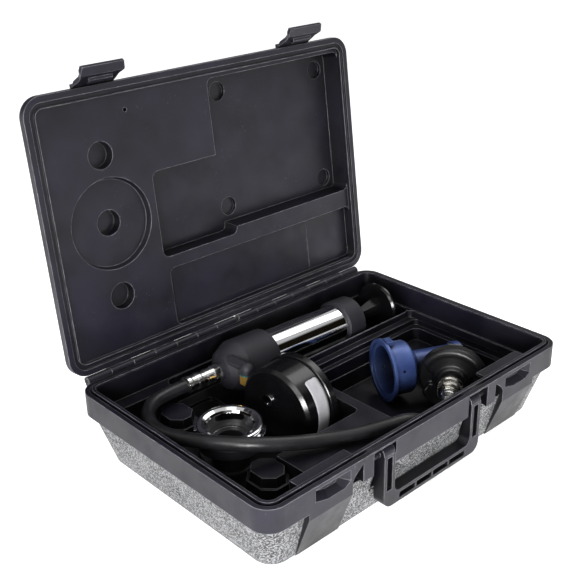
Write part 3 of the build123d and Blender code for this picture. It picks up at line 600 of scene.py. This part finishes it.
def makeDialPrint(s):
    ticks = grownMesh("dialTicks", barsOnArc, {
        **s["tick"], "Radius": s["tickRadius"] * mm, "Start": math.radians(s["firstAngle"] - s["sweep"]),
        "Sweep": math.radians(s["sweep"]), "Finish": dialInk})
    ticks.transform(levelFrame(s) @ Matrix.Translation((0, 0, s["dialStation"] * mm)))
    linkPiece("dialTicks", ticks, dialInk, "case")
    for count, number in enumerate(s["numbers"]):
        # clockwise from lower left
        angle = math.radians(s["firstAngle"] - s["sweep"] * count / (len(s["numbers"]) - 1))
        text = bpy.data.curves.new("dialNumber", "FONT")
        text.body = str(number)
        text.size = s["numberHeight"] * mm
        text.align_x = "CENTER"
        text.align_y = "CENTER"
        text.extrude = s["numberThick"] * mm
        text.resolution_u = 3
        holder = bpy.data.objects.new("dialNumber", text)
        scene.collection.objects.link(holder)
        name = "dialNumber%d" % number
        mesh = bakedMesh(holder, name)
        spot = Vector((math.cos(angle), math.sin(angle), 0)) * s["numberRadius"] * mm
        spot.z = s["dialStation"] * mm
        mesh.transform(levelFrame(s) @ Matrix.Translation(spot))
        linkPiece(name, mesh, dialInk, "case")

makeLabel(gaugeSettings)
makeDialPrint(gaugeSettings)
print("gauge finished")


# Test head: the moulded body with its corners melted, the knurl and the spring of the coupler's sleeve

testHeadSettings = {
    "middle": (99.8, -68.0, 40.4),
    "turn": 212.7,
    "mergeWithin": 0.002,
    "voxel": 0.8,
    "smoothing": 18,
    "ribs": 40,
    "ribRadius": 11.6,
    "ribHeight": 0.8,
    "ribWidth": 0.9,
    "bands": {"sleeveKnurlRear": (18.0, 4.6), "sleeveKnurlFront": (10.2, 3.0)},
    "springEnd": 23.0,
    "springKeep": 0.53,
}

def mergedCopy(name, s):
    # a CAD node's mesh with its loose triangles joined
    mesh = nodes[name].data.copy()
    merged = bmesh.new()
    merged.from_mesh(mesh)
    bmesh.ops.remove_doubles(merged, verts=merged.verts, dist=s["mergeWithin"] * mm)
    merged.to_mesh(mesh)
    merged.free()
    return mesh

def softenBody(s):
    # the real mould has no hard steps, so the solid is remeshed and relaxed
    holder = bpy.data.objects.new("testHeadDraft", mergedCopy("test_head_body", s))
    scene.collection.objects.link(holder)
    remesh = holder.modifiers.new("remesh", "REMESH")
    remesh.mode = "VOXEL"
    remesh.voxel_size = s["voxel"] * mm
    relax = holder.modifiers.new("relax", "SMOOTH")
    relax.factor = 0.5
    relax.iterations = s["smoothing"]
    soft = bakedMesh(holder, "testHeadBody")
    smoothFaces(soft)
    piece = linkPiece("testHeadBody", soft, testHeadNylon, "case")
    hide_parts("test_head_body")
    print("test head softened to", len(soft.polygons), "faces")

def makeKnurl(s):
    # two bands of straight ribs round the sleeve, each at its station with its depth
    for name, (station, depth) in s["bands"].items():
        ribs = grownMesh(name, barsOnArc, {
            "Radius": s["ribRadius"] * mm, "Height": s["ribHeight"] * mm, "Width": s["ribWidth"] * mm,
            "Depth": depth * mm, "Start": 0.0, "Sweep": math.radians(360 * (s["ribs"] - 1) / s["ribs"]),
            "Longer": 0.0, "Count": s["ribs"], "Finish": nickelPlate})
        ribs.transform(levelFrame(s) @ Matrix.Translation((0, 0, station * mm)))
        linkPiece(name, ribs, nickelPlate, "coupler")

def makeCouplerSpring(s):
    # the sleeve presses it against the body's shoulder as it is pulled back
    piece = linkPiece("couplerSpring", mergedCopy("coupler_spring", s), springWire, "case")
    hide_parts("coupler_spring")
    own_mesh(piece)

softenBody(testHeadSettings)
makeKnurl(testHeadSettings)
makeCouplerSpring(testHeadSettings)
print("test head finished")


# Floor, lights and surroundings

floorSettings = {
    "size": 24000,
    "drop": 0.2,
    # white painted board, lit evenly so that only soft shadows show
    "paint": {"Base Color": "#f4f4f4", "Roughness": 0.9, "Specular IOR Level": 0.1,
              "Emission Color": "#ffffff", "Emission Strength": 0.6},
}

def makeFloor(s):
    bpy.ops.mesh.primitive_plane_add(size=s["size"] * mm, location=(0, 0, -s["drop"] * mm))
    floor = bpy.context.object
    floor.name = "studioFloor"
    floor.data.materials.append(startMaterial("paleStudioFloor", s["paint"])[0])

lightSettings = [
    # name, place and aim in metres, width, height, watts, spread in degrees
    ("overheadSoftbox", (1.15, 0.05, 1.45), (0.06, 0.08, 0.05), 0.8, 0.9, 6, 180),
    ("topSoftbox", (-0.2, -0.15, 1.7), (0.0, 0.0, 0.1), 0.9, 0.9, 4, 180),
    ("leftSoftbox", (-1.5, -0.5, 0.9), (0.0, 0.0, 0.1), 0.9, 0.9, 12, 180),
    ("frontSoftbox", (-0.85, -0.95, 0.3), (0.0, -0.12, 0.0), 0.5, 0.5, 3.2, 60),
]

def makeLights(settings):
    for name, place, aim, width, height, watts, spread in settings:
        data = bpy.data.lights.new(name, "AREA")
        data.shape = "RECTANGLE"
        data.size = width
        data.size_y = height
        data.energy = watts
        data.spread = math.radians(spread)
        light = bpy.data.objects.new(name, data)
        scene.collection.objects.link(light)
        light.location = place
        light.rotation_mode = "QUATERNION"
        light.rotation_quaternion = (Vector(aim) - Vector(place)).to_track_quat("-Z", "Y")

worldSettings = {
    # height of a direction above the horizon (its sine) and what the tent shows there
    "bands": [
        (0.0, "#ffffff"), (0.13, "#ffffff"), (0.17, "#17140f"),
        (0.52, "#1d1913"), (0.6, "#e8e8e8"), (1.0, "#f2f2f2"),
    ],
    "strength": 0.75,
}

def makeWorld(s):
    # a pale tent: bright overhead and along the table, dark between, as the polished barrel mirrors it
    world = bpy.data.worlds.new("studioTent")
    scene.world = world
    world.use_nodes = True
    tree = world.node_tree
    direction = addNode(tree, "ShaderNodeTexCoord").outputs["Generated"]
    height = addNode(tree, "ShaderNodeSeparateXYZ", {"Vector": direction}).outputs["Z"]
    ramp = addNode(tree, "ShaderNodeValToRGB", {"Fac": height})
    stops = ramp.color_ramp.elements
    while len(stops) < len(s["bands"]):
        stops.new(0.5)
    for stop, (place, colour) in zip(stops, s["bands"]):
        stop.position = place
        stop.color = hexColour(colour)
    feed(tree, tree.nodes["Background"], {"Color": ramp, "Strength": s["strength"]})

makeFloor(floorSettings)
makeLights(lightSettings)
makeWorld(worldSettings)
scene.view_settings.view_transform = "Standard"
print("studio set")
